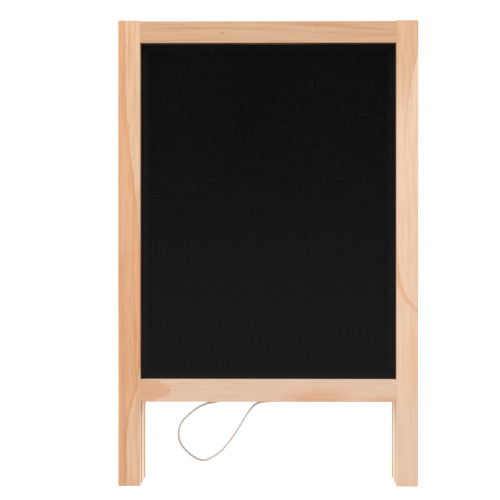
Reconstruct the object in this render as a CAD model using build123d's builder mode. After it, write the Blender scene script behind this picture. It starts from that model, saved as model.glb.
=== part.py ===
from build123d import *
import math
import os

# Double-sided tabletop easel: two equal wooden frames hinged along their top rails.
# Origin: centre of the footprint, on the surface that the folded easel stands on.
# +Z is up, -Y is the chalkboard side and +Y the whiteboard side. Millimetres.

# Frames
WIDTH = 349.2  # over the outer faces of the stiles
STILE_LENGTH = 542.0  # a stile's lower end is the leg
BAR_FACE = 25.6  # width of each bar, seen square on to the board
BAR_DEPTH = 15.0  # thickness of each bar
FOLD_GAP = 0.4  # between the two frames when folded
LEG_LENGTH = 98.1  # floor to the underside of a bottom rail
TOP_RAIL_DROP = 0.9  # top rail below the stile ends
EDGE_ROUND = 0.5
END_CHAMFER = 0.4

# Groove that holds the board, and the stub tenons that fill it at the corners
FACE_LIP = 5.2  # wood between the groove and the bar's outer face
GROOVE_WIDTH = 3.2
GROOVE_DEPTH = 6.0
TENON_LENGTH = 5.5
TENON_THICKNESS = 3.0

# Boards: hardboard with a writing surface on its outer side
BOARD_THICKNESS = 2.7
SURFACE_THICKNESS = 0.3
BOARD_IN_GROOVE = 5.5
BOARD_CLEARANCE = 0.1  # between the writing surface and its side of the groove

# Countersunk screws, and the clearance of their holes
RAIL_SCREW_RADIUS = 1.75
RAIL_SCREW_HEAD_RADIUS = 3.5
RAIL_SCREW_LENGTH = 45.0
HINGE_SCREW_RADIUS = 1.2
HINGE_SCREW_HEAD_RADIUS = 2.2
HINGE_SCREW_LENGTH = 12.0
SCREW_CLEARANCE = 0.05
PILOT_SPARE = 1.0  # depth of a rail screw's hole past its point
POINT_SHARE = 2.0  # length of a screw's point, in shank radii
RECESS_DEPTH_SHARE = 0.35  # cross recess, as a share of the head's radius
RECESS_WIDTH_SHARE = 0.26
RECESS_LENGTH_SHARE = 1.3

# Butt hinges on top of the top rails
HINGE_X = 124.0  # hinge centre to the easel's centre
HINGE_LENGTH = 38.0
LEAF_THICKNESS = 1.0
LEAF_EDGE_Y = 12.0
LEAF_CORNER = 1.5
LEAF_ROOT_Y = 0.5  # where a leaf meets its own knuckles
KNUCKLES = 5  # the front leaf has the odd ones
KNUCKLE_RADIUS = 1.9
KNUCKLE_GAP = 0.3
PIN_RADIUS = 1.0
PIN_CLEARANCE = 0.05
PIN_CHAMFER = 0.3
PIN_HEIGHT = 2.2  # pin centre above the top rails
HINGE_SCREW_SPACING = 22.0
HINGE_SCREW_Y = 7.2

# Cord that stops the frames from opening too far, and the staples that hold it
CORD_RADIUS = 1.5
ARC_SHARE = 0.45  # of the shorter run beside it, the stretch that an arc of the cord takes up
STAPLE_WIRE = 0.7
STAPLE_CROWN = 5.0  # over the outer sides of the legs
STAPLE_LEG = 6.0  # length of a leg in the wood
STAPLE_BEND_RADIUS = 0.55  # at the middle of the wire
CORD_SLACK = 0.15  # between the cord, the rail and the staple
FRONT_STAPLE = (0.0, -4.6)
REAR_STAPLE = (0.0, 7.7)

# Worked out from the above
STILE_X = (WIDTH - BAR_FACE) / 2
BAR_Y = (FOLD_GAP + BAR_DEPTH) / 2
RAIL_LENGTH = WIDTH - 2 * BAR_FACE
OUTER_Y = FOLD_GAP / 2 + BAR_DEPTH
BOTTOM_RAIL_Z = LEG_LENGTH + BAR_FACE / 2
TOP_Z = STILE_LENGTH - TOP_RAIL_DROP
TOP_RAIL_Z = TOP_Z - BAR_FACE / 2
GROOVE_Y = OUTER_Y - FACE_LIP - GROOVE_WIDTH / 2
SURFACE_Y = OUTER_Y - FACE_LIP - BOARD_CLEARANCE - SURFACE_THICKNESS / 2
BOARD_Y = SURFACE_Y - (SURFACE_THICKNESS + BOARD_THICKNESS) / 2
BOARD_WIDTH = RAIL_LENGTH + 2 * BOARD_IN_GROOVE
BOARD_HEIGHT = TOP_RAIL_Z - BOTTOM_RAIL_Z - BAR_FACE + 2 * BOARD_IN_GROOVE
BOARD_Z = (TOP_RAIL_Z + BOTTOM_RAIL_Z) / 2
PIN_Z = TOP_Z + PIN_HEIGHT
KNUCKLE_LENGTH = (HINGE_LENGTH - (KNUCKLES - 1) * KNUCKLE_GAP) / KNUCKLES
CORD_TOP_Z = LEG_LENGTH - CORD_SLACK - CORD_RADIUS

# The cord's route, from its tail past the front staple to its tail past the rear one
CORD_ROUTE = [
    (6.0, -4.6, CORD_TOP_Z),
    (-12.5, -4.6, CORD_TOP_Z - 0.1),
    (-24.1, -4.1, 83.3),
    (-35.6, -3.2, 63.1),
    (-49.6, -1.9, 42.6),
    (-63.6, -0.7, 29.6),
    (-79.1, 0.5, 22.8),
    (-95.6, 1.7, 32.3),
    (-107.8, 2.9, 47.3),
    (-106.6, 4.0, 65.8),
    (-95.1, 5.0, 78.1),
    (-79.6, 5.9, 89.3),
    (-60.6, 6.8, 92.9),
    (-37.6, 7.4, 95.9),
    (-14.0, 7.7, CORD_TOP_Z - 0.1),
    (7.0, 7.7, CORD_TOP_Z),
]

FRONT, REAR = -1, 1
LEFT, RIGHT = -1, 1
FRAMES = {"front": FRONT, "rear": REAR}
SIDES = {"left": LEFT, "right": RIGHT}
RAIL_HEIGHTS = (BOTTOM_RAIL_Z, TOP_RAIL_Z)


def rail_screw_planes(side, face):
    """Planes on the stile's outer side, facing out, at its two rail screws."""
    return [
        Plane(origin=(side * WIDTH / 2, face * BAR_Y, z), x_dir=(0, 1, 0), z_dir=(side, 0, 0))
        for z in RAIL_HEIGHTS
    ]


def hinge_screw_planes(face, z, sides=(LEFT, RIGHT)):
    """Upward planes at the hinge screws of one frame, two to each hinge."""
    return [
        Plane(origin=(side * HINGE_X + shift, face * HINGE_SCREW_Y, z))
        for side in sides
        for shift in (-HINGE_SCREW_SPACING / 2, HINGE_SCREW_SPACING / 2)
    ]


def make_stile(side, face):
    """An upright bar with rounded edges, grooved for the board along its whole length."""
    with BuildPart() as stile:
        with BuildSketch():
            with Locations((side * STILE_X, face * BAR_Y)):
                Rectangle(BAR_FACE, BAR_DEPTH)
        extrude(amount=STILE_LENGTH)
        fillet(stile.edges().filter_by(Axis.Z), EDGE_ROUND)
        chamfer(stile.faces().sort_by(Axis.Z)[-1].edges(), END_CHAMFER)
        chamfer(stile.faces().sort_by(Axis.Z)[0].edges(), END_CHAMFER)
        with BuildSketch():
            with Locations((side * (RAIL_LENGTH + GROOVE_DEPTH) / 2, face * GROOVE_Y)):
                Rectangle(GROOVE_DEPTH, GROOVE_WIDTH)
        extrude(amount=STILE_LENGTH, mode=Mode.SUBTRACT)
        with Locations(*rail_screw_planes(side, face)):
            CounterSinkHole(
                radius=RAIL_SCREW_RADIUS + SCREW_CLEARANCE,
                counter_sink_radius=RAIL_SCREW_HEAD_RADIUS + SCREW_CLEARANCE,
                depth=BAR_FACE,
                counter_sink_angle=90,
            )
    return stile


def make_rail(face, z, groove_side):
    """A cross bar with a stub tenon at each end. groove_side is 1 where the groove is in its upper edge."""
    groove_z = z + groove_side * (BAR_FACE - GROOVE_DEPTH) / 2
    with BuildPart() as rail:
        with Locations((0, face * BAR_Y, z)):
            Box(RAIL_LENGTH, BAR_DEPTH, BAR_FACE)
        fillet(rail.edges().filter_by(Axis.X), EDGE_ROUND)
        with Locations((0, face * GROOVE_Y, z)):
            Box(RAIL_LENGTH + 2 * TENON_LENGTH, TENON_THICKNESS, BAR_FACE - 2 * EDGE_ROUND)
        with Locations((0, face * GROOVE_Y, groove_z)):
            Box(WIDTH, GROOVE_WIDTH, GROOVE_DEPTH, mode=Mode.SUBTRACT)
        for side in (LEFT, RIGHT):
            end = Plane(origin=(side * WIDTH / 2, face * BAR_Y, z), z_dir=(side, 0, 0))
            with Locations(end):
                Hole(RAIL_SCREW_RADIUS + SCREW_CLEARANCE, depth=RAIL_SCREW_LENGTH + PILOT_SPARE)
    return rail


def make_top_rail(face):
    """The top rail, with pilot holes for the hinge screws."""
    rail = make_rail(face, TOP_RAIL_Z, groove_side=-1)
    with rail:
        with Locations(*hinge_screw_planes(face, TOP_Z)):
            Hole(HINGE_SCREW_RADIUS + SCREW_CLEARANCE, depth=HINGE_SCREW_LENGTH)
    return rail


def make_bottom_rail(face, staple):
    """The bottom rail, with two small holes in its underside for the staple's legs."""
    rail = make_rail(face, BOTTOM_RAIL_Z, groove_side=1)
    with rail:
        for x, y in staple_legs(staple):
            with Locations(Plane(origin=(x, y, LEG_LENGTH), z_dir=(0, 0, -1))):
                Hole(STAPLE_WIRE / 2 + SCREW_CLEARANCE, depth=STAPLE_LEG)
    return rail


def make_board(y, thickness):
    """A sheet as large as the opening and the grooves around it."""
    with BuildPart() as sheet:
        with Locations((0, y, BOARD_Z)):
            Box(BOARD_WIDTH, thickness, BOARD_HEIGHT)
    return sheet


def make_screws(planes, radius, head_radius, length):
    """Countersunk screws whose heads lie flush with the given planes."""
    head_depth = head_radius - radius
    recess = (
        RECESS_LENGTH_SHARE * head_radius,
        RECESS_WIDTH_SHARE * head_radius,
        2 * RECESS_DEPTH_SHARE * head_radius,
    )
    with BuildPart() as screws:
        for plane in planes:
            with BuildSketch(Plane(origin=plane.origin, x_dir=plane.z_dir, z_dir=plane.x_dir)):
                with BuildLine():
                    Polyline(
                        (0, 0),
                        (0, head_radius),
                        (-head_depth, radius),
                        (-(length - POINT_SHARE * radius), radius),
                        (-length, 0),
                        close=True,
                    )
                make_face()
            revolve(axis=Axis(plane.origin, plane.z_dir))
            with Locations(plane):
                Box(*recess, mode=Mode.SUBTRACT)
                Box(recess[1], recess[0], recess[2], mode=Mode.SUBTRACT)
    return screws


def knuckle_starts(side, odd):
    """Where the odd or the even knuckles of a hinge begin along X."""
    first = side * HINGE_X - HINGE_LENGTH / 2
    pitch = KNUCKLE_LENGTH + KNUCKLE_GAP
    return [first + i * pitch for i in range(KNUCKLES) if (i % 2 == 0) == odd]


def make_leaf(side, face):
    """A hinge leaf lying on its rail, with the knuckles that it wraps round the pin."""
    own = knuckle_starts(side, odd=face == FRONT)
    other = knuckle_starts(side, odd=face != FRONT)
    notch_y = KNUCKLE_RADIUS + 2 * KNUCKLE_GAP
    with BuildPart() as leaf:
        with BuildSketch(Plane.XY.offset(TOP_Z)) as plate:
            with Locations((side * HINGE_X, face * (LEAF_ROOT_Y + LEAF_EDGE_Y) / 2)):
                Rectangle(HINGE_LENGTH, LEAF_EDGE_Y - LEAF_ROOT_Y)
            fillet(plate.vertices().group_by(Axis.Y)[0 if face == FRONT else -1], LEAF_CORNER)
        extrude(amount=LEAF_THICKNESS)
        for start in own:
            with BuildSketch(Plane.YZ.offset(start)):
                with Locations((0, PIN_Z)):
                    Circle(KNUCKLE_RADIUS)
            extrude(amount=KNUCKLE_LENGTH)
        for start in other:
            with Locations((start + KNUCKLE_LENGTH / 2, 0, PIN_Z)):
                Box(KNUCKLE_LENGTH + 2 * KNUCKLE_GAP, 2 * notch_y, 2 * PIN_HEIGHT, mode=Mode.SUBTRACT)
        with BuildSketch(Plane.YZ.offset(side * HINGE_X - HINGE_LENGTH / 2)):
            with Locations((0, PIN_Z)):
                Circle(PIN_RADIUS + PIN_CLEARANCE)
        extrude(amount=HINGE_LENGTH, mode=Mode.SUBTRACT)
        with Locations(*hinge_screw_planes(face, TOP_Z + LEAF_THICKNESS, sides=(side,))):
            CounterSinkHole(
                radius=HINGE_SCREW_RADIUS + SCREW_CLEARANCE,
                counter_sink_radius=HINGE_SCREW_HEAD_RADIUS + SCREW_CLEARANCE,
                depth=LEAF_THICKNESS,
                counter_sink_angle=90,
            )
    return leaf


def make_pin(side):
    """The hinge pin, as long as its knuckles."""
    with BuildPart() as pin:
        with BuildSketch(Plane.YZ.offset(side * HINGE_X - HINGE_LENGTH / 2)):
            with Locations((0, PIN_Z)):
                Circle(PIN_RADIUS)
        extrude(amount=HINGE_LENGTH)
        chamfer(pin.edges().filter_by(GeomType.CIRCLE), PIN_CHAMFER)
    return pin


def staple_legs(staple):
    """Where a staple's two legs enter the rail. Its crown crosses the cord along Y."""
    spread = (STAPLE_CROWN - STAPLE_WIRE) / 2
    return [(staple[0], staple[1] - spread), (staple[0], staple[1] + spread)]


def make_staple(staple):
    """A wire staple that holds the cord up against the underside of a rail."""
    crown_z = LEG_LENGTH - 2 * CORD_SLACK - 2 * CORD_RADIUS - STAPLE_WIRE / 2
    spread = (STAPLE_CROWN - STAPLE_WIRE) / 2
    across = Plane(origin=(staple[0], staple[1], 0), x_dir=(0, 1, 0), z_dir=(1, 0, 0))
    with BuildPart() as wire:
        with BuildLine(across) as path:
            FilletPolyline(
                (-spread, LEG_LENGTH + STAPLE_LEG),
                (-spread, crown_z),
                (spread, crown_z),
                (spread, LEG_LENGTH + STAPLE_LEG),
                radius=STAPLE_BEND_RADIUS,
            )
        with BuildSketch(Plane(origin=path.line @ 0, z_dir=path.line % 0)):
            Circle(STAPLE_WIRE / 2)
        sweep()
    return wire


def corner_radii(points):
    """An arc for each corner of a route, as large as the two runs beside it allow."""
    radii = []
    for before, corner, after in zip(points, points[1:], points[2:]):
        run_in = Vector(*corner) - Vector(*before)
        run_out = Vector(*after) - Vector(*corner)
        half_turn = math.radians(run_in.get_angle(run_out) / 2)
        radii.append(ARC_SHARE * min(run_in.length, run_out.length) / math.tan(half_turn))
    return radii


def make_cord():
    """The limit cord, hanging in a loop below the folded frames."""
    radii = corner_radii(CORD_ROUTE)
    with BuildPart() as cord:
        with BuildLine() as path:
            FilletPolyline(*CORD_ROUTE, radius=radii)
        with BuildSketch(Plane(origin=path.line @ 0, z_dir=path.line % 0)):
            Circle(CORD_RADIUS)
        sweep()
    length = sum(edge.length for edge in path.edges())
    tube = math.pi * CORD_RADIUS**2 * length
    print("cord radii", [round(r, 1) for r in radii])
    print("cord length", round(length, 1), "volume", round(cord.part.volume, 1), "of", round(tube, 1))
    return cord


def write(name, piece):
    """Labels a finished piece and writes it to its own file."""
    piece.part.label = name
    export_step(piece.part, f"parts/{name}.step")


os.makedirs("parts", exist_ok=True)

for frame, face in FRAMES.items():
    for end, side in SIDES.items():
        write(f"{frame}_{end}_stile", make_stile(side, face))
    write(f"{frame}_top_rail", make_top_rail(face))
    staple = FRONT_STAPLE if face == FRONT else REAR_STAPLE
    write(f"{frame}_bottom_rail", make_bottom_rail(face, staple))
    write(f"{frame}_cord_staple", make_staple(staple))
    write(f"{frame}_board", make_board(face * BOARD_Y, BOARD_THICKNESS))
    surface = "chalkboard_surface" if face == FRONT else "whiteboard_surface"
    write(surface, make_board(face * SURFACE_Y, SURFACE_THICKNESS))
    rail_planes = rail_screw_planes(LEFT, face) + rail_screw_planes(RIGHT, face)
    write(
        f"{frame}_rail_screws",
        make_screws(rail_planes, RAIL_SCREW_RADIUS, RAIL_SCREW_HEAD_RADIUS, RAIL_SCREW_LENGTH),
    )
    leaf_planes = hinge_screw_planes(face, TOP_Z + LEAF_THICKNESS)
    write(
        f"{frame}_hinge_screws",
        make_screws(leaf_planes, HINGE_SCREW_RADIUS, HINGE_SCREW_HEAD_RADIUS, HINGE_SCREW_LENGTH),
    )

for end, side in SIDES.items():
    write(f"{end}_hinge_front_leaf", make_leaf(side, FRONT))
    write(f"{end}_hinge_rear_leaf", make_leaf(side, REAR))
    write(f"{end}_hinge_pin", make_pin(side))

write("limit_cord", make_cord())
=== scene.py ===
import math
from collections import namedtuple

import bpy
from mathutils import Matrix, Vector


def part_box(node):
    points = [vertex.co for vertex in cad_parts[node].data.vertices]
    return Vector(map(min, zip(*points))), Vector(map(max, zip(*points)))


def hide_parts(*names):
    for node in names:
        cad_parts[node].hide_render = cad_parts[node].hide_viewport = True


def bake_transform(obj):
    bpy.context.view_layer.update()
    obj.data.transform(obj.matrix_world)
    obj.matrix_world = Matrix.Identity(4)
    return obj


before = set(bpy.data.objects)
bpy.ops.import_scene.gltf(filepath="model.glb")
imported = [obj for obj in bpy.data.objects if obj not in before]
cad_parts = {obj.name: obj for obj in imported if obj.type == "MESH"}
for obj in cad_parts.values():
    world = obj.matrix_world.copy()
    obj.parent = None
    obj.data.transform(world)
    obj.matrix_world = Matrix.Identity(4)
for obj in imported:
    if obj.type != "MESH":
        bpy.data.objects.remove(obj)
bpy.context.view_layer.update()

# ---------------------------------------------------------------- sizes read from the frame, in metres

STILE_LOW, STILE_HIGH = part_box("front_left_stile")
RAIL_LOW, RAIL_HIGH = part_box("front_bottom_rail")
TOP_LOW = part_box("front_top_rail")[0]
BAR_FACE = STILE_HIGH[0] - STILE_LOW[0]
BAR_DEPTH = STILE_HIGH[1] - STILE_LOW[1]
FRONT_Y = STILE_LOW[1]
OPENING_HALF_WIDTH = -STILE_HIGH[0]  # the stiles' inner faces, where the boards are seen to end
OPENING_LOW_Z = RAIL_HIGH[2]
OPENING_HIGH_Z = TOP_LOW[2]
MILLIMETRE = 0.001

# ---------------------------------------------------------------- camera

EYE_DISTANCE = 0.691  # in front of the chalkboard frame
EYE = (0.0115, FRONT_Y - EYE_DISTANCE, 0.2923)
LENS_MM = 42.8
SENSOR_MM = 36.0
YAW = math.radians(0.27)  # turned slightly to the left
SHIFT = (-0.0504, -0.030)


def make_camera():
    """A level view of the front, framed with a shift instead of a tilt to keep upright edges upright."""
    data = bpy.data.cameras.new("camera")
    data.lens = LENS_MM
    data.sensor_width = SENSOR_MM
    data.shift_x, data.shift_y = SHIFT
    camera = bpy.data.objects.new("camera", data)
    camera.location = EYE
    camera.rotation_euler = (math.pi / 2, 0, YAW)
    bpy.context.scene.collection.objects.link(camera)
    bpy.context.scene.camera = camera


make_camera()

# ---------------------------------------------------------------- shader helpers


def srgb(red, green, blue):
    """A linear colour from 0-255 display values."""

    def linear(value):
        value /= 255
        return value / 12.92 if value <= 0.04045 else ((value + 0.055) / 1.055) ** 2.4

    return (linear(red), linear(green), linear(blue), 1.0)


class Shader:
    """One material's node tree, with a short method for each kind of node that it uses."""

    def __init__(self, name):
        self.material = bpy.data.materials.new(name)
        self.material.use_nodes = True
        self.tree = self.material.node_tree
        self.tree.nodes.clear()
        self.where = self.add("ShaderNodeTexCoord")

    def add(self, kind, inputs=None, **settings):
        node = self.tree.nodes.new(kind)
        for name, value in settings.items():
            setattr(node, name, value)
        for name, value in (inputs or {}).items():
            self.put(node.inputs[name], value)
        return node

    def put(self, socket, value):
        if isinstance(value, bpy.types.NodeSocket):
            self.tree.links.new(value, socket)
        else:
            socket.default_value = value

    def math(self, operation, *values):
        return self.add("ShaderNodeMath", dict(enumerate(values)), operation=operation).outputs[0]

    def plus(self, first, second):
        return self.math("ADD", first, second)

    def minus(self, first, second):
        return self.math("SUBTRACT", first, second)

    def times(self, first, *others):
        for other in others:
            first = self.math("MULTIPLY", first, other)
        return first

    def split(self, vector):
        return self.add("ShaderNodeSeparateXYZ", {0: vector}).outputs

    def join(self, x, y, z):
        return self.add("ShaderNodeCombineXYZ", {0: x, 1: y, 2: z}).outputs[0]

    def scaled(self, vector, scale, shift=(0, 0, 0)):
        inputs = {"Vector": vector, "Scale": scale, "Location": shift}
        return self.add("ShaderNodeMapping", inputs).outputs[0]

    def noise(self, vector, scale, detail=3.0, roughness=0.5, distortion=0.0):
        inputs = {
            "Vector": vector,
            "Scale": scale,
            "Detail": detail,
            "Roughness": roughness,
            "Distortion": distortion,
        }
        return self.add("ShaderNodeTexNoise", inputs).outputs[0]

    def spots(self, vector, scale):
        inputs = {"Vector": vector, "Scale": scale}
        return self.add("ShaderNodeTexVoronoi", inputs).outputs["Distance"]

    def between(self, value, low, high, to_low=0.0, to_high=1.0):
        """value's place between low and high, eased, as a number from to_low to to_high."""
        inputs = {0: value, 1: low, 2: high, 3: to_low, 4: to_high}
        node = self.add("ShaderNodeMapRange", inputs, interpolation_type="SMOOTHSTEP")
        return node.outputs[0]

    def mix(self, share, first, second, blend="MIX"):
        """A mix of two colours, which a Mix node takes in sockets 6 and 7 and gives back from socket 2."""
        node = self.add("ShaderNodeMix", data_type="RGBA", blend_type=blend)
        self.put(node.inputs[0], share)
        self.put(node.inputs[6], first)
        self.put(node.inputs[7], second)
        return node.outputs[2]

    def bump(self, height, depth, strength=1.0):
        inputs = {"Height": height, "Distance": depth, "Strength": strength}
        return self.add("ShaderNodeBump", inputs).outputs[0]

    def finish(self, colour, roughness, normal=None, **values):
        inputs = {"Base Color": colour, "Roughness": roughness}
        inputs.update({name.replace("_", " "): value for name, value in values.items()})
        if normal is not None:
            inputs["Normal"] = normal
        surface = self.add("ShaderNodeBsdfPrincipled", inputs)
        output = self.add("ShaderNodeOutputMaterial")
        self.tree.links.new(surface.outputs[0], output.inputs[0])
        return self.material


def paint(node, material):
    """Gives a CAD node's object a new material in every slot."""
    for slot in bpy.data.objects[node].material_slots:
        slot.material = material


# ---------------------------------------------------------------- cord

# The cord's route, from its tail past the front staple to its tail past the rear one.
CORD_ROUTE = [
    (0.0060, -0.0046, 0.09645),
    (-0.0125, -0.0046, 0.09635),
    (-0.0241, -0.0041, 0.0833),
    (-0.0356, -0.0032, 0.0631),
    (-0.0496, -0.0019, 0.0426),
    (-0.0636, -0.0007, 0.0296),
    (-0.0791, 0.0005, 0.0228),
    (-0.0956, 0.0017, 0.0323),
    (-0.1078, 0.0029, 0.0473),
    (-0.1066, 0.0040, 0.0658),
    (-0.0951, 0.0050, 0.0781),
    (-0.0796, 0.0059, 0.0893),
    (-0.0606, 0.0068, 0.0929),
    (-0.0376, 0.0074, 0.0959),
    (-0.0140, 0.0077, 0.09635),
    (0.0070, 0.0077, 0.09645),
]
CORD_RADIUS = 1.5 * MILLIMETRE
CORD_POINTS_PER_RUN = 14
STRANDS = 3
STRAND_PITCH = 5.5 * MILLIMETRE  # one strand's turn round the cord
STRAND_DEPTH = 0.10  # depth of the groove between strands, as a share of the radius
PROFILE_POINTS = 24
HELD_LENGTH = 11 * MILLIMETRE  # at each end, the tail and the stretch under the staple
EASE_LENGTH = 25 * MILLIMETRE  # past that, where the cord starts to be free to straighten

COTTON_SHADE = (194, 187, 181)
COTTON_LIGHT = (227, 219, 213)
COTTON_PATCH = (211, 203, 197)
# painted shade on the lower left of the loop
COTTON_PAINTED_SHADE = (166, 152, 140)
COTTON_FIBRES = 2600.0  # to the metre
PAINTED_SHADE_X = (-0.065, -0.085)  # from here to here the painted shade grows to full, along X and down Z
PAINTED_SHADE_Z = (0.066, 0.046)


def route_line(points):
    """Points along the smooth NURBS line that has the given control points."""
    curve = bpy.data.curves.new("route", "CURVE")
    curve.dimensions = "3D"
    spline = curve.splines.new("NURBS")
    spline.points.add(len(points) - 1)
    for control, point in zip(spline.points, points):
        control.co = (*point, 1)
    spline.order_u = 3
    spline.use_endpoint_u = True
    spline.resolution_u = CORD_POINTS_PER_RUN
    holder = bpy.data.objects.new("route", curve)
    mesh = bpy.data.meshes.new_from_object(holder)
    line = [v.co.copy() for v in mesh.vertices]
    bpy.data.meshes.remove(mesh)
    bpy.data.objects.remove(holder)
    bpy.data.curves.remove(curve)
    return line


def distances(line):
    """The distance along a line to each of its points."""
    found = [0.0]
    for before, after in zip(line, line[1:]):
        found.append(found[-1] + (after - before).length)
    return found


class Geometry:
    """A geometry node tree, with a short method for each kind of node that it uses."""

    def __init__(self, name):
        self.tree = bpy.data.node_groups.new(name, "GeometryNodeTree")
        self.tree.interface.new_socket("Geometry", in_out="INPUT", socket_type="NodeSocketGeometry")
        self.tree.interface.new_socket("Geometry", in_out="OUTPUT", socket_type="NodeSocketGeometry")
        self.source = self.add("NodeGroupInput").outputs[0]

    def add(self, kind, inputs=None, **settings):
        node = self.tree.nodes.new(kind)
        for name, value in settings.items():
            setattr(node, name, value)
        for name, value in (inputs or {}).items():
            if isinstance(value, bpy.types.NodeSocket):
                self.tree.links.new(value, node.inputs[name])
            else:
                node.inputs[name].default_value = value
        return node

    def math(self, operation, *values):
        return self.add("ShaderNodeMath", dict(enumerate(values)), operation=operation).outputs[0]

    def vector(self, operation, first, second):
        return self.add("ShaderNodeVectorMath", {0: first, 1: second}, operation=operation).outputs[0]

    def times(self, vector, value):
        node = self.add("ShaderNodeVectorMath", {0: vector, "Scale": value}, operation="SCALE")
        return node.outputs[0]

    def named(self, name):
        return self.add("GeometryNodeInputNamedAttribute", {"Name": name}, data_type="FLOAT").outputs[0]

    def position_at(self, geometry, position, index):
        inputs = {"Geometry": geometry, "Value": position, "Index": index}
        return self.add("GeometryNodeSampleIndex", inputs, data_type="FLOAT_VECTOR").outputs[0]


def cord_shape(line, along, first, last, material):
    """Turns the cord's bent line into a twisted cord. As its staples move apart the line straightens
    between them, so that the cord about keeps its length: the loop's size falls as the root of
    1 - (span / length) squared."""
    free_length = along[last] - along[first]
    rest_span = (line[last] - line[first]).length
    nodes = Geometry("twisted_cord")
    position = nodes.add("GeometryNodeInputPosition").outputs[0]
    start = nodes.position_at(nodes.source, position, first)
    end = nodes.position_at(nodes.source, position, last)
    span = nodes.vector("SUBTRACT", end, start)
    span_length = nodes.add("ShaderNodeVectorMath", {0: span}, operation="LENGTH").outputs["Value"]
    spare = nodes.math("SUBTRACT", free_length**2, nodes.math("MULTIPLY", span_length, span_length))
    rest_spare = free_length**2 - rest_span**2
    loop = nodes.math("SQRT", nodes.math("MAXIMUM", nodes.math("DIVIDE", spare, rest_spare), 0.0))
    straight = nodes.vector("ADD", start, nodes.times(span, nodes.named("share")))
    pull = nodes.math("MULTIPLY", nodes.named("pull"), nodes.math("SUBTRACT", 1.0, loop))
    offset = nodes.times(nodes.vector("SUBTRACT", straight, position), pull)
    bent = nodes.add("GeometryNodeSetPosition", {"Geometry": nodes.source, "Offset": offset})
    curve = nodes.add("GeometryNodeMeshToCurve", {"Mesh": bent.outputs[0]}).outputs[0]
    turn = nodes.math("MULTIPLY", nodes.named("distance"), 2 * math.pi / (STRANDS * STRAND_PITCH))
    curve = nodes.add("GeometryNodeSetCurveTilt", {"Curve": curve, "Tilt": turn}).outputs[0]

    profile = {"Resolution": PROFILE_POINTS, "Radius": CORD_RADIUS}
    circle = nodes.add("GeometryNodeCurvePrimitiveCircle", profile)
    place = nodes.add("ShaderNodeSeparateXYZ", {0: position}).outputs
    angle = nodes.math("ARCTAN2", place[1], place[0])
    wave = nodes.math("ABSOLUTE", nodes.math("SINE", nodes.math("MULTIPLY", angle, STRANDS / 2)))
    shrink = nodes.math("ADD", 1 - STRAND_DEPTH, nodes.math("MULTIPLY", wave, STRAND_DEPTH))
    lobes = nodes.add(
        "GeometryNodeSetPosition",
        {"Geometry": circle.outputs[0], "Position": nodes.times(position, shrink)},
    )
    tube = nodes.add(
        "GeometryNodeCurveToMesh",
        {"Curve": curve, "Profile Curve": lobes.outputs[0], "Fill Caps": True},
    )
    smooth = nodes.add("GeometryNodeSetShadeSmooth", {"Geometry": tube.outputs[0]})
    covered = nodes.add("GeometryNodeSetMaterial", {"Geometry": smooth.outputs[0], "Material": material})
    nodes.add("NodeGroupOutput", {0: covered.outputs[0]})
    return nodes.tree


def make_cord(material):
    """The limit cord: a line that bends between the two frames, given its thickness by geometry nodes."""
    line = route_line(CORD_ROUTE)
    along = distances(line)
    length = along[-1]
    first = next(i for i, d in enumerate(along) if d >= HELD_LENGTH)
    last = next(i for i, d in enumerate(along) if d >= length - HELD_LENGTH)
    mesh = bpy.data.meshes.new("limit_cord_line")
    mesh.from_pydata(line, [(i, i + 1) for i in range(len(line) - 1)], [])
    mesh.materials.append(material)
    columns = {"distance": [], "share": [], "pull": []}
    for distance in along:
        free = min(distance, length - distance) - HELD_LENGTH
        eased = min(max(free / EASE_LENGTH, 0), 1)
        columns["distance"].append(distance)
        columns["share"].append((distance - along[first]) / (along[last] - along[first]))
        columns["pull"].append(eased * eased * (3 - 2 * eased))
    for name, values in columns.items():
        mesh.attributes.new(name, "FLOAT", "POINT").data.foreach_set("value", values)
    cord = bpy.data.objects.new("twisted_limit_cord", mesh)
    bpy.context.scene.collection.objects.link(cord)
    cord.modifiers.new("twist", "NODES").node_group = cord_shape(line, along, first, last, material)
    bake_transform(cord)
    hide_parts("limit_cord")


def cord_material():
    """Undyed cotton: fine fibres with a little fuzz, and painted shade that browns the lower left of the
    loop.
    """
    m = Shader("cord_cotton")
    where = m.where.outputs["Object"]
    fibres = m.noise(where, COTTON_FIBRES, detail=4)
    patches = m.noise(where, 60.0, detail=2)
    colour = m.mix(fibres, srgb(*COTTON_SHADE), srgb(*COTTON_LIGHT))
    colour = m.mix(m.between(patches, 0.35, 0.7), colour, srgb(*COTTON_PATCH))
    x, _, z = m.split(where)
    # Painted shade, browner, on the lower left of the loop.
    painted_shade = m.times(m.between(x, *PAINTED_SHADE_X), m.between(z, *PAINTED_SHADE_Z))
    colour = m.mix(m.times(painted_shade, 0.55), colour, srgb(*COTTON_PAINTED_SHADE))
    normal = m.bump(fibres, 0.12 * MILLIMETRE)
    roughness = m.between(fibres, 0.2, 0.8, 0.8, 0.95)
    return m.finish(colour, roughness, normal, Sheen_Weight=0.25, Specular_IOR_Level=0.25)


make_cord(cord_material())

# ---------------------------------------------------------------- pine

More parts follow.
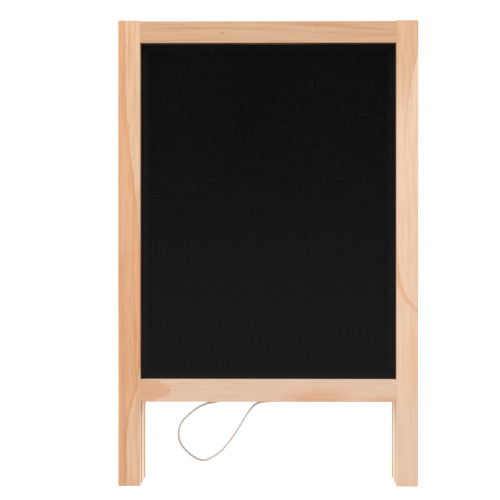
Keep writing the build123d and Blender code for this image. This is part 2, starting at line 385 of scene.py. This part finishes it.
# Each bar: its grain axis; which way across it the opening lies; its early wood and late wood; how much its
# rings and its brown streaks show; where its pith runs, in millimetres across and through the bar from its
# middle; its rings' slant; and its own seed.
Bar = namedtuple("Bar", "grain inward early late rings streaks pith slant seed")
BARS = {
    "front_left_stile": Bar("Z", 1, (230, 178, 140), (208, 151, 108), 0.30, 0.60, (-34, 46), 0.020, 1.7),
    "front_right_stile": Bar("Z", -1, (238, 204, 178), (221, 178, 144), 0.25, 0.18, (60, 38), 0.050, 4.3),
    "front_top_rail": Bar("X", -1, (212, 175, 144), (194, 147, 109), 0.28, 0.42, (30, 60), 0.010, 7.9),
    "front_bottom_rail": Bar("X", 1, (229, 196, 170), (213, 172, 141), 0.16, 0.10, (-14, 24), 0.030, 11.2),
    "rear_left_stile": Bar("Z", 1, (233, 196, 160), (211, 163, 120), 0.35, 0.30, (40, -52), 0.022, 14.6),
    "rear_right_stile": Bar("Z", -1, (236, 201, 168), (216, 171, 130), 0.30, 0.25, (-46, -40), 0.030, 18.1),
    "rear_top_rail": Bar("X", -1, (228, 188, 150), (205, 157, 114), 0.40, 0.35, (-28, -58), 0.014, 21.4),
    "rear_bottom_rail": Bar("X", 1, (235, 200, 166), (214, 169, 127), 0.30, 0.20, (18, -30), 0.026, 25.0),
}

# Noises drawn out along the grain: squeeze along it, scale to the metre, detail and roughness.
Texture = namedtuple("Texture", "squeeze scale detail roughness")
FIBRES = Texture(0.012, 1500.0, 3, 0.6)
THREADS = Texture(0.05, 620.0, 2, 0.5)
STREAKS = Texture(0.035, 210.0, 4, 0.6)
HONEY = Texture(0.03, 330.0, 3, 0.5)
CLOUDS = Texture(0.25, 42.0, 2, 0.5)
WEAR = Texture(0.08, 90.0, 3, 0.5)
SWAY = Texture(0.10, 30.0, 3, 0.5)
FLECK_SQUEEZE = 0.12
FLECK_SCALE = 260.0

RING_SPACING = 3.1 * MILLIMETRE
RING_SWAY = 34 * MILLIMETRE
RING_UNEVENNESS = 2.4  # in rings
LATE_WOOD = (0.30, 0.93, 0.94)  # where in a ring late wood starts, is at its darkest, and begins to end

STREAK_TINT = (236, 214, 190)  # what a brown streak multiplies the wood under it by
HONEY_COLOUR = (228, 178, 118)
THREAD_COLOUR = (190, 132, 90)
FIBRE_COLOUR = (172, 116, 74)
FLECK_COLOUR = (142, 94, 64)
# painted highlight on the legs' inner sides and the bottom rails' upper sides
SIDE_HIGHLIGHT_COLOUR = (246, 224, 203)
# painted shade inside the groove that holds the board
GROOVE_SHADE_COLOUR = (132, 92, 66)
END_EARLY_COLOUR = (206, 158, 116)
END_LATE_COLOUR = (160, 108, 70)
WORN_COLOUR = (188, 138, 98)
# painted shade on the side of the lip in the recess beside the board
LIP_SHADE_COLOUR = (40, 29, 24)

BOARD_FACE_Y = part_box("chalkboard_surface")[0][1]
LIP_THICKNESS = BOARD_FACE_Y - FRONT_Y
GROOVE_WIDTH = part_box("front_board")[1][1] - BOARD_FACE_Y
GROOVE_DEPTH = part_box("front_board")[1][0] - OPENING_HALF_WIDTH + 0.5 * MILLIMETRE
EDGE_WIDTH = 1.2 * MILLIMETRE
HALF_FACE = BAR_FACE / 2
HALF_DEPTH = BAR_DEPTH / 2
STILE_MIDDLE_Z = (STILE_LOW[2] + STILE_HIGH[2]) / 2


def bar_coordinates(m, node, grain):
    """Distances across, through and along a bar from its middle."""
    low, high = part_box(node)
    middle = [(a + b) / 2 for a, b in zip(low, high)]
    place = m.split(m.where.outputs["Object"])
    x, y, z = (m.minus(place[i], middle[i]) for i in range(3))
    return (x, y, z) if grain == "Z" else (z, y, x)


def drawn_out(m, bar, place, texture):
    """A noise drawn out along the bar's grain. place is (across, through, along)."""
    across, through, along = place
    where = m.join(m.plus(across, bar.seed), through, m.times(along, texture.squeeze))
    return m.noise(where, texture.scale, texture.detail, texture.roughness)


def growth_rings(m, bar, place):
    """0 in early wood to 1 in late wood. The rings are cylinders about a pith beside the bar, so that
    its faces, edges and ends agree."""
    across, through, along = place
    start, darkest, ending = LATE_WOOD
    sway = m.times(m.minus(drawn_out(m, bar, place, SWAY), 0.5), RING_SWAY)
    lean = m.times(along, bar.slant)
    ring_across = m.plus(m.plus(m.minus(across, bar.pith[0] * MILLIMETRE), lean), sway)
    ring_through = m.minus(through, bar.pith[1] * MILLIMETRE)
    squares = m.plus(m.math("POWER", ring_across, 2.0), m.math("POWER", ring_through, 2.0))
    ring = m.math("DIVIDE", m.math("SQRT", squares), RING_SPACING)
    ring = m.plus(ring, m.times(m.noise(m.join(ring, bar.seed, 0.0), 0.6, detail=1), RING_UNEVENNESS))
    part = m.math("FRACT", ring)
    late = m.times(m.between(part, start, darkest), m.between(part, 1.0, ending))
    strength = m.between(m.noise(m.join(ring, 0.0, bar.seed), 0.9, detail=0), 0.35, 0.65, 0.25, 1.0)
    return m.times(late, strength)


def end_grain(m, bar, base, late_share):
    """Darkens the ends of a bar, where its pores are open."""
    facing = m.split(m.where.outputs["Normal"])[2 if bar.grain == "Z" else 0]
    at_end = m.between(m.math("ABSOLUTE", facing), 0.6, 0.95)
    colour = m.mix(late_share, srgb(*END_EARLY_COLOUR), srgb(*END_LATE_COLOUR))
    return m.mix(m.times(at_end, 0.75), base, colour)


def worn_edges(m, bar, place, base):
    """Patchy handling marks along a bar's four long edges."""
    across, through, _ = place
    near_side = m.between(m.math("ABSOLUTE", across), HALF_FACE - EDGE_WIDTH, HALF_FACE)
    near_face = m.between(m.math("ABSOLUTE", through), HALF_DEPTH - EDGE_WIDTH, HALF_DEPTH)
    worn = m.times(near_side, near_face, drawn_out(m, bar, place, WEAR))
    return m.mix(m.times(worn, 0.4), base, srgb(*WORN_COLOUR))


def pine_material(node, bar):
    """Planed pine: growth rings, long brown streaks, fine fibres and small flecks."""
    m = Shader(f"pine_{node}")
    place = bar_coordinates(m, node, bar.grain)
    across, through, along = place
    late_share = growth_rings(m, bar, place)
    fibres = drawn_out(m, bar, place, FIBRES)
    threads = drawn_out(m, bar, place, THREADS)
    streaks = m.between(drawn_out(m, bar, place, STREAKS), 0.47, 0.70)
    honey = m.between(drawn_out(m, bar, place, HONEY), 0.50, 0.68)
    clouds = m.between(drawn_out(m, bar, place, CLOUDS), 0.35, 0.70, 0.0, 0.30 * bar.streaks)
    flecks = m.spots(m.join(across, through, m.times(along, FLECK_SQUEEZE)), FLECK_SCALE)
    flecks = m.between(flecks, 0.08 + 0.10 * bar.streaks, 0.03, 0.0, 0.45)

    base = m.mix(m.times(late_share, bar.rings), srgb(*bar.early), srgb(*bar.late))
    base = m.mix(clouds, base, srgb(*bar.late))
    base = PATCHES[node](m, base, across, through, along) if node in PATCHES else base
    base = m.mix(m.times(streaks, bar.streaks), base, srgb(*STREAK_TINT), blend="MULTIPLY")
    base = m.mix(m.times(honey, 0.55 * bar.streaks), base, srgb(*HONEY_COLOUR))
    base = m.mix(m.between(threads, 0.42, 0.72, 0.0, 0.10 + 0.20 * bar.streaks), base, srgb(*THREAD_COLOUR))
    base = m.mix(m.between(fibres, 0.3, 0.75, 0.0, 0.10), base, srgb(*FIBRE_COLOUR))
    base = m.mix(flecks, base, srgb(*FLECK_COLOUR))
    # Painted highlight on the legs' inner sides and the bottom rails' upper sides.
    base = m.mix(m.times(side_highlight(m, bar, across, along), 0.6), base, srgb(*SIDE_HIGHLIGHT_COLOUR))
    # Painted shade on the groove's walls.
    base = m.mix(m.times(groove(m, node, bar, across, through), 0.9), base, srgb(*GROOVE_SHADE_COLOUR))
    base = end_grain(m, bar, base, late_share)
    base = worn_edges(m, bar, place, base)

    height = m.plus(m.times(late_share, 0.35), m.times(fibres, 0.65))
    normal = m.bump(height, 0.10 * MILLIMETRE, strength=0.6)
    roughness = m.between(fibres, 0.2, 0.8, 0.50, 0.66)
    return m.finish(base, roughness, normal, Specular_IOR_Level=0.3)


def near_curve(m, distance, rise, fall):
    """1 on a curve, falling to 0 at rise before it and at fall past it."""
    return m.times(m.between(distance, -rise, 0.0), m.between(distance, fall, 0.0))


def ellipse(m, across, along, centre, size, softness, slope=0.0):
    """A soft-edged ellipse on a bar's face. centre and half size are (along, across); slope tilts it."""
    shift = m.minus(along, centre[0])
    level = m.plus(m.times(shift, slope), centre[1])
    along_share = m.math("DIVIDE", shift, size[0])
    across_share = m.math("DIVIDE", m.minus(across, level), size[1])
    squares = m.plus(m.math("POWER", along_share, 2.0), m.math("POWER", across_share, 2.0))
    return m.between(m.math("SQRT", squares), 1.0 + softness, 1.0 - softness)


def side_highlight(m, bar, across, along):
    """1 on the inner side of a leg and on a bottom rail's upper side, which a painted highlight makes paler
    than the faces.
    """
    if bar.grain == "X" and bar.inward < 0:
        return 0.0
    inward = m.times(across, bar.inward)
    side = m.between(inward, HALF_FACE - 0.5 * MILLIMETRE, HALF_FACE - 0.2 * MILLIMETRE)
    if bar.grain == "X":
        return side
    rail_z = RAIL_LOW[2] - STILE_MIDDLE_Z
    return m.times(side, m.between(along, rail_z + MILLIMETRE, rail_z))


def groove(m, node, bar, across, through):
    """1 on the walls of the groove that holds the board, where painted shade darkens the groove that light
    hardly enters.
    """
    outward = m.times(through, -1.0 if node.startswith("front") else 1.0)
    inward = m.times(across, bar.inward)
    mouth = m.between(inward, HALF_FACE - 0.1 * MILLIMETRE, HALF_FACE - 0.6 * MILLIMETRE)
    bottom = HALF_FACE - GROOVE_DEPTH
    depth = m.times(mouth, m.between(inward, bottom - 1.0 * MILLIMETRE, bottom - 0.5 * MILLIMETRE))
    lip_back = HALF_DEPTH - LIP_THICKNESS
    lip = m.between(outward, lip_back + 0.2 * MILLIMETRE, lip_back)
    back = lip_back - GROOVE_WIDTH
    return m.times(depth, lip, m.between(outward, back - 0.5 * MILLIMETRE, back))


def lip_painted_shade(m, base, inward, through, reach, share):
    """Painted shade: darkens the side of the lip in front of the board, as far as reach from the board,
    where the recess lies in shade.
    inward is the distance from the bar's middle towards the opening."""
    on_side = m.between(inward, HALF_FACE - 0.6 * MILLIMETRE, HALF_FACE - 0.2 * MILLIMETRE)
    start = LIP_THICKNESS - HALF_DEPTH - reach
    near_board = m.between(through, start - 0.5 * MILLIMETRE, start + 0.5 * MILLIMETRE)
    return m.mix(m.times(on_side, near_board, share), base, srgb(*LIP_SHADE_COLOUR))


def beside_board(m, along):
    """1 where a stile runs beside the opening, 0 at its ends."""
    low = OPENING_LOW_Z - STILE_MIDDLE_Z
    high = OPENING_HIGH_Z - STILE_MIDDLE_Z
    return m.times(m.between(along, low - MILLIMETRE, low), m.between(along, high + MILLIMETRE, high))


# ---------------------------------------------------------------- the front bars' own markings

# Left stile: pale sapwood whose edge is two S-shaped seams, each from one (along, across) point to another.
UPPER_SEAM = ((-0.02, 0.0135), (0.21, -0.0044))
LOWER_SEAM = ((-0.225, -0.0036), (-0.120, 0.0135))
SEAM_WOBBLE = 6 * MILLIMETRE
SEAM_SOFTNESS = 0.5 * MILLIMETRE
SEAM_SHADE_WIDTH = 6 * MILLIMETRE
SAPWOOD_COLOUR = (230, 195, 163)
SEAM_COLOUR = (210, 152, 108)
# how far the painted shade reaches along the left lip's side
LEFT_LIP_SHADE_REACH = 2.2 * MILLIMETRE


def seam(m, along, ends):
    """How far across the stile an S-shaped seam lies."""
    (low, low_across), (high, high_across) = ends
    return m.between(along, low, high, low_across, high_across)


def left_stile_patches(m, base, across, through, along):
    """Pale sapwood along the inner edge, in the top half and again in the leg, with heartwood between."""
    edge = m.math("MINIMUM", seam(m, along, UPPER_SEAM), seam(m, along, LOWER_SEAM))
    wander = m.minus(m.noise(m.join(0.0, 0.0, along), 30.0, detail=3), 0.5)
    depth = m.minus(m.plus(across, m.times(wander, SEAM_WOBBLE)), edge)
    shade = near_curve(m, depth, SEAM_SHADE_WIDTH, 0.2 * MILLIMETRE)
    base = m.mix(m.times(shade, 0.45), base, srgb(*SEAM_COLOUR))
    sapwood = m.between(depth, -SEAM_SOFTNESS, SEAM_SOFTNESS)
    base = m.mix(m.times(sapwood, 0.85), base, srgb(*SAPWOOD_COLOUR))
    # Painted shade on the lip's side beside the board.
    return lip_painted_shade(m, base, across, through, LEFT_LIP_SHADE_REACH, m.times(beside_board(m, along), 0.85))


# Right stile: a tan arch near the top, whose edge leaves ARCH_FOOT and curves outwards up the stile, and an
# orange flame whose edge leaves FLAME_FOOT and nears FLAME_LIMIT, by the inner side, as it goes up.
# ARCH_FOOT and WARM_CENTRE are (along, across).
ARCH_FOOT = (0.124, -0.0025)
ARCH_HEIGHT = 0.105
ARCH_REACH = 0.0135
ARCH_POWER = 2.2
ARCH_COLOUR = (220, 181, 144)
ARCH_GRAIN_COLOUR = (200, 148, 108)
ARCH_LINE_COLOUR = (196, 148, 114)
FLAME_FOOT = -0.065
FLAME_STEEPNESS = 48.0
FLAME_REACH = 0.024
FLAME_LIMIT = -0.0125
FLAME_WIDTH = 9 * MILLIMETRE
FLAME_COLOUR = (226, 172, 130)
WARM_CENTRE = (-0.125, 0.008)
WARM_SIZE = (0.055, 0.008)
WARM_COLOUR = (228, 186, 146)
PALE_LEG_COLOUR = (226, 198, 173)
# how far the painted shade reaches along the right lip's side
RIGHT_LIP_SHADE_REACH = 3.6 * MILLIMETRE


def tan_arch(m, base, across, through, along):
    """Tan wood with its own grain, edged by a fine dark line."""
    rise = m.math("DIVIDE", m.math("MAXIMUM", m.minus(along, ARCH_FOOT[0]), 0.0), ARCH_HEIGHT)
    line = m.plus(m.times(m.math("POWER", rise, ARCH_POWER), ARCH_REACH), ARCH_FOOT[1])
    past = m.minus(across, line)
    tan = m.times(m.between(along, 0.13, 0.235), m.between(past, 1.0 * MILLIMETRE, -1.0 * MILLIMETRE))
    grain = m.between(m.noise(m.join(across, through, m.times(along, 0.06)), 420.0), 0.45, 0.70)
    mark = near_curve(m, past, 1.2 * MILLIMETRE, 0.8 * MILLIMETRE)
    base = m.mix(m.times(tan, 0.85), base, srgb(*ARCH_COLOUR))
    base = m.mix(m.times(tan, grain, 0.45), base, srgb(*ARCH_GRAIN_COLOUR))
    return m.mix(m.times(mark, m.between(along, 0.09, 0.16), 0.55), base, srgb(*ARCH_LINE_COLOUR))


def orange_flame(m, base, across, along):
    """An orange band that fades inwards from its edge."""
    fade = m.math("EXPONENT", m.times(m.minus(along, FLAME_FOOT), -FLAME_STEEPNESS))
    edge = m.plus(m.times(fade, FLAME_REACH), FLAME_LIMIT)
    band = near_curve(m, m.minus(across, edge), FLAME_WIDTH, 0.8 * MILLIMETRE)
    return m.mix(m.times(band, m.between(along, 0.03, -0.02), 0.75), base, srgb(*FLAME_COLOUR))


def right_stile_patches(m, base, across, through, along):
    """Tan above a fine dark line near the top, an orange flame below the middle, and a pale leg."""
    base = tan_arch(m, base, across, through, along)
    base = orange_flame(m, base, across, along)
    warm = ellipse(m, across, along, WARM_CENTRE, WARM_SIZE, 0.7)
    base = m.mix(m.times(warm, 0.45), base, srgb(*WARM_COLOUR))
    base = m.mix(m.between(along, -0.14, -0.22, 0.0, 0.5), base, srgb(*PALE_LEG_COLOUR))
    # Painted shade on the lip's side beside the board.
    share = m.times(beside_board(m, along), 0.85)
    return lip_painted_shade(m, base, m.times(across, -1.0), through, RIGHT_LIP_SHADE_REACH, share)


# Brown streaks of the top rail: centre (along, across), half size (along, across), slope and strength.
TOP_RAIL_STREAKS = [
    ((-0.088, 0.0046), (0.045, 0.0014), 0.00, 0.80),
    ((-0.018, 0.0036), (0.034, 0.0010), -0.01, 0.50),
    ((-0.105, -0.0098), (0.050, 0.0010), 0.01, 0.65),
    ((0.022, -0.0104), (0.030, 0.0008), 0.00, 0.60),
    ((0.060, 0.0082), (0.034, 0.0018), -0.04, 0.60),
    ((0.112, 0.0044), (0.042, 0.0012), -0.07, 0.65),
    ((-0.125, 0.0090), (0.028, 0.0009), -0.02, 0.40),
]
TOP_RAIL_KNOTS = [(-0.053, -0.0012), (0.057, 0.0068)]
KNOT_HALO_SIZE = (0.0026, 0.0013)
KNOT_HEART_SIZE = (0.0009, 0.0007)
TOP_STREAK_COLOUR = (206, 146, 96)
KNOT_HALO_COLOUR = (190, 140, 100)
KNOT_HEART_COLOUR = (140, 102, 76)
# how far the painted shade reaches under the top lip
TOP_LIP_SHADE_REACH = 5.5 * MILLIMETRE


def top_rail_patches(m, base, across, through, along):
    """Long orange-brown streaks and two pin knots."""
    for centre, size, slope, strength in TOP_RAIL_STREAKS:
        streak = ellipse(m, across, along, centre, size, 0.8, slope)
        base = m.mix(m.times(streak, strength), base, srgb(*TOP_STREAK_COLOUR))
    for knot in TOP_RAIL_KNOTS:
        halo = ellipse(m, across, along, knot, KNOT_HALO_SIZE, 0.6)
        heart = ellipse(m, across, along, knot, KNOT_HEART_SIZE, 0.5)
        base = m.mix(m.times(halo, 0.35), base, srgb(*KNOT_HALO_COLOUR))
        base = m.mix(m.times(heart, 0.6), base, srgb(*KNOT_HEART_COLOUR))
    # Painted shade under the lip beside the board.
    return lip_painted_shade(m, base, m.times(across, -1.0), through, TOP_LIP_SHADE_REACH, 0.93)


# Bottom rail: ellipses of heartwood, each a centre, a half size (along, across) and a softness.
TONGUE_SHOULDERS = ((-0.160, 0.006), (0.0345, 0.0300), 0.03)
TONGUE_TIP = ((-0.138, 0.0005), (0.0245, 0.0105), 0.06)
MIDDLE_FLAME = ((0.060, -0.0105), (0.033, 0.0110), 0.60)
RIGHT_FLAME = ((0.150, -0.0150), (0.040, 0.0080), 0.60)
TONGUE_COLOUR = (222, 171, 134)
LOW_FLAME_COLOUR = (224, 171, 133)
FLAME_LINE_COLOUR = (206, 142, 102)


def bottom_rail_patches(m, base, across, through, along):
    """Heartwood: a tongue with square shoulders at the left end, and low flames with fine streaks."""
    shoulders = ellipse(m, across, along, *TONGUE_SHOULDERS)
    tongue = m.math("MAXIMUM", shoulders, ellipse(m, across, along, *TONGUE_TIP))
    base = m.mix(m.times(tongue, 0.85), base, srgb(*TONGUE_COLOUR))
    middle = ellipse(m, across, along, *MIDDLE_FLAME)
    flames = m.math("MAXIMUM", middle, ellipse(m, across, along, *RIGHT_FLAME))
    base = m.mix(m.times(flames, 0.70), base, srgb(*LOW_FLAME_COLOUR))
    lines = m.between(m.noise(m.join(across, 0.0, m.times(along, 0.05)), 900.0, detail=2), 0.5, 0.65)
    return m.mix(m.times(lines, flames, 0.45), base, srgb(*FLAME_LINE_COLOUR))


PATCHES = {
    "front_left_stile": left_stile_patches,
    "front_right_stile": right_stile_patches,
    "front_top_rail": top_rail_patches,
    "front_bottom_rail": bottom_rail_patches,
}

for name, bar in BARS.items():
    paint(name, pine_material(name, bar))

# ---------------------------------------------------------------- boards

BLACK_PAINT = (2, 2, 2)
ROLLED_PAINT = (5, 5, 5)
GREYED_PAINT = (20, 20, 20)
GREYING_HEIGHTS = (0.50, 0.10)  # from here down to here the paint gets greyer
DUST_COLOUR = (19, 19, 19)
EDGE_DUST_COLOUR = (14, 14, 14)
BOARD_RIM_BROWN = (46, 30, 21)
COATING_COLOUR = (220, 227, 235)
WIPED_COLOUR = (205, 213, 224)
COATING_RIM_COLOUR = (196, 196, 196)
HARDBOARD_DARK = (128, 88, 58)
HARDBOARD_LIGHT = (168, 122, 84)
HARDBOARD_FIBRE = (92, 60, 38)


def edge_distance(m):
    """How far inside the frame's opening a point of a board lies."""
    x, _, z = m.split(m.where.outputs["Object"])
    side = m.minus(OPENING_HALF_WIDTH, m.math("ABSOLUTE", x))
    low = m.minus(z, OPENING_LOW_Z)
    high = m.minus(OPENING_HIGH_Z, z)
    return m.math("MINIMUM", side, m.math("MINIMUM", low, high))


def chalkboard_material():
    """Matt black chalkboard paint, a little dusty, and brown along the last 1.5 millimetres before the
    frame.
    """
    m = Shader("chalkboard_paint")
    where = m.where.outputs["Object"]
    rollers = m.noise(m.scaled(where, (1.0, 1.0, 0.35)), 9.0, detail=3)
    grit = m.noise(where, 2200.0, detail=2)
    greyed = m.between(m.split(where)[2], *GREYING_HEIGHTS)
    dust = m.between(m.noise(where, 850.0, detail=2, roughness=0.6), 0.45, 0.75)
    dusty_edge = m.between(edge_distance(m), 12 * MILLIMETRE, 2 * MILLIMETRE)
    rim = m.between(edge_distance(m), 1.5 * MILLIMETRE, 0.3 * MILLIMETRE)
    colour = m.mix(m.between(rollers, 0.3, 0.75), srgb(*BLACK_PAINT), srgb(*ROLLED_PAINT))
    colour = m.mix(greyed, colour, srgb(*GREYED_PAINT))
    colour = m.mix(dust, colour, srgb(*DUST_COLOUR), blend="ADD")
    colour = m.mix(dusty_edge, colour, srgb(*EDGE_DUST_COLOUR), blend="ADD")
    colour = m.mix(rim, colour, srgb(*BOARD_RIM_BROWN))
    normal = m.bump(grit, 0.05 * MILLIMETRE, strength=0.7)
    roughness = m.between(grit, 0.2, 0.8, 0.72, 0.86)
    return m.finish(colour, roughness, normal, Specular_IOR_Level=0.05)


def whiteboard_material():
    """Glossy dry-wipe coating: cool white, faintly uneven, with traces of wiped marks."""
    m = Shader("whiteboard_coating")
    where = m.where.outputs["Object"]
    wiped = m.noise(m.scaled(where, (1.0, 1.0, 0.4)), 26.0, detail=4, distortion=1.2)
    ripple = m.noise(where, 160.0, detail=2)
    rim = m.between(edge_distance(m), 1.5 * MILLIMETRE, 0.2 * MILLIMETRE)
    colour = m.mix(m.between(wiped, 0.55, 0.85, 0.0, 0.5), srgb(*COATING_COLOUR), srgb(*WIPED_COLOUR))
    colour = m.mix(m.times(rim, 0.5), colour, srgb(*COATING_RIM_COLOUR))
    normal = m.bump(ripple, 0.04 * MILLIMETRE, strength=0.4)
    roughness = m.between(wiped, 0.4, 0.8, 0.13, 0.24)
    return m.finish(colour, roughness, normal, Coat_Weight=0.5, Coat_Roughness=0.08)


def hardboard_material(name, seed):
    """Pressed brown fibre: mottled, with short fibres lying every way."""
    m = Shader(name)
    where = m.scaled(m.where.outputs["Object"], (1, 1, 1), (seed, 0, 0))
    mottle = m.noise(where, 140.0, detail=5, roughness=0.65)
    fibres = m.noise(where, 1300.0, detail=3, distortion=2.5)
    colour = m.mix(m.between(mottle, 0.3, 0.72), srgb(*HARDBOARD_DARK), srgb(*HARDBOARD_LIGHT))
    colour = m.mix(m.between(fibres, 0.55, 0.75, 0.0, 0.55), colour, srgb(*HARDBOARD_FIBRE))
    normal = m.bump(m.plus(mottle, fibres), 0.08 * MILLIMETRE, strength=0.6)
    roughness = m.between(fibres, 0.2, 0.8, 0.55, 0.75)
    return m.finish(colour, roughness, normal, Specular_IOR_Level=0.3)


paint("chalkboard_surface", chalkboard_material())
paint("whiteboard_surface", whiteboard_material())
paint("front_board", hardboard_material("front_hardboard", 0.0))
paint("rear_board", hardboard_material("rear_hardboard", 3.0))

# ---------------------------------------------------------------- metal

BRUSHING_SCALE = (60, 3200, 3200)  # long along X, fine across it
ROUGHNESS_SPREAD = 0.16


def plated_steel(name, light, dark, roughness, brushing):
    """Plated steel: fine brushing along X, cloudy plating and a little tarnish."""
    m = Shader(name)
    where = m.where.outputs["Object"]
    brushed = m.noise(m.scaled(where, BRUSHING_SCALE), 1.0, detail=2)
    clouds = m.noise(where, 180.0, detail=4, roughness=0.6)
    colour = m.mix(m.between(clouds, 0.3, 0.7), srgb(*light), srgb(*dark))
    normal = m.bump(brushed, 0.02 * MILLIMETRE, strength=brushing)
    rough = m.between(clouds, 0.2, 0.8, roughness, roughness + ROUGHNESS_SPREAD)
    return m.finish(colour, rough, normal, Metallic=1.0)


hinge_steel = plated_steel("hinge_steel", (186, 178, 164), (150, 140, 124), 0.30, 0.8)
pin_steel = plated_steel("pin_steel", (176, 172, 166), (140, 134, 126), 0.26, 0.5)
screw_steel = plated_steel("screw_steel", (172, 168, 158), (128, 122, 110), 0.32, 0.4)
staple_wire = plated_steel("staple_wire", (190, 190, 188), (158, 158, 154), 0.28, 0.4)
for end in ("left", "right"):
    paint(f"{end}_hinge_front_leaf", hinge_steel)
    paint(f"{end}_hinge_rear_leaf", hinge_steel)
    paint(f"{end}_hinge_pin", pin_steel)
for end in ("front", "rear"):
    paint(f"{end}_rail_screws", screw_steel)
    paint(f"{end}_hinge_screws", screw_steel)
    paint(f"{end}_cord_staple", staple_wire)

# ---------------------------------------------------------------- studio

STAGE_HALF_WIDTH = 6.0
STAGE_BACK = 5.0
STAGE_CURVE = 2.0
STAGE_HEIGHT = 6.0
CURVE_STEPS = 24
STAGE_DARK = (198, 198, 198)
STAGE_PALE = (206, 206, 206)
STAGE_GLOW = 0.62
SURROUND_LIGHT = 0.74
SURROUND_SEEN = 1.02

EASEL_MIDDLE = (0, 0, 0.27)
LEGS_MIDDLE = (0, 0, 0.05)

# Each lamp: its name, its place, what it points at, its width and height, and its power in watts.
Lamp = namedtuple("Lamp", "name place target size watts")
LAMPS = [
    Lamp("key", (-1.1, -2.2, 1.5), EASEL_MIDDLE, (1.4, 1.4), 7.5),
    Lamp("fill", (1.5, -1.9, 0.9), EASEL_MIDDLE, (1.6, 1.6), 3),
    Lamp("overhead", (0, -0.9, 2.4), EASEL_MIDDLE, (2.0, 1.4), 31),
    Lamp("back", (0.3, 2.4, 0.7), EASEL_MIDDLE, (2.6, 1.0), 3),
    Lamp("side", (-1.5, 0.45, 0.35), LEGS_MIDDLE, (0.8, 0.8), 15),
    Lamp("side", (1.5, 0.45, 0.35), LEGS_MIDDLE, (0.8, 0.8), 15),
]


def make_stage():
    """A pale floor that sweeps up into a backdrop behind the easel. It looks whiter than the light that
    it gives back, as a floor does in a picture that is exposed for the easel."""
    profile = [(-STAGE_HALF_WIDTH, 0.0), (STAGE_BACK - STAGE_CURVE, 0.0)]
    for step in range(1, CURVE_STEPS + 1):
        angle = step / CURVE_STEPS * math.pi / 2
        y = STAGE_BACK - STAGE_CURVE + STAGE_CURVE * math.sin(angle)
        profile.append((y, STAGE_CURVE * (1 - math.cos(angle))))
    profile.append((STAGE_BACK, STAGE_HEIGHT))
    points = [(side * STAGE_HALF_WIDTH, y, z) for y, z in profile for side in (-1, 1)]
    faces = [(2 * i, 2 * i + 1, 2 * i + 3, 2 * i + 2) for i in range(len(profile) - 1)]
    mesh = bpy.data.meshes.new("studio_floor")
    mesh.from_pydata(points, [], faces)
    mesh.shade_smooth()
    floor = bpy.data.objects.new("studio_floor", mesh)
    bpy.context.scene.collection.objects.link(floor)
    mesh.materials.append(stage_material())


def stage_material():
    """Matt off-white paper, with a glow that only the camera sees."""
    m = Shader("studio_white")
    shade = m.noise(m.where.outputs["Object"], 0.8, detail=1)
    colour = m.mix(shade, srgb(*STAGE_DARK), srgb(*STAGE_PALE))
    glow = m.times(m.add("ShaderNodeLightPath").outputs["Is Camera Ray"], STAGE_GLOW)
    return m.finish(colour, 0.9, Emission_Color=(1, 1, 1, 1), Emission_Strength=glow)


def make_lamp(lamp):
    """A rectangular area light that faces its target."""
    data = bpy.data.lights.new(lamp.name, "AREA")
    data.shape = "RECTANGLE"
    data.size, data.size_y = lamp.size
    data.energy = lamp.watts
    light = bpy.data.objects.new(lamp.name, data)
    light.location = lamp.place
    towards = Vector(lamp.target) - Vector(lamp.place)
    light.rotation_euler = towards.to_track_quat("-Z", "Y").to_euler()
    bpy.context.scene.collection.objects.link(light)


def make_surround():
    """An even white surround, which the camera sees brighter than the light that it gives."""
    world = bpy.data.worlds.new("surround")
    world.use_nodes = True
    nodes = world.node_tree.nodes
    seen = nodes.new("ShaderNodeLightPath").outputs["Is Camera Ray"]
    strength = nodes.new("ShaderNodeMapRange")
    strength.inputs["To Min"].default_value = SURROUND_LIGHT
    strength.inputs["To Max"].default_value = SURROUND_SEEN
    world.node_tree.links.new(seen, strength.inputs["Value"])
    world.node_tree.links.new(strength.outputs[0], nodes["Background"].inputs["Strength"])
    nodes["Background"].inputs["Color"].default_value = (1, 1, 1, 1)
    bpy.context.scene.world = world


make_stage()
for lamp in LAMPS:
    make_lamp(lamp)
make_surround()
bpy.context.scene.view_settings.view_transform = "Standard"
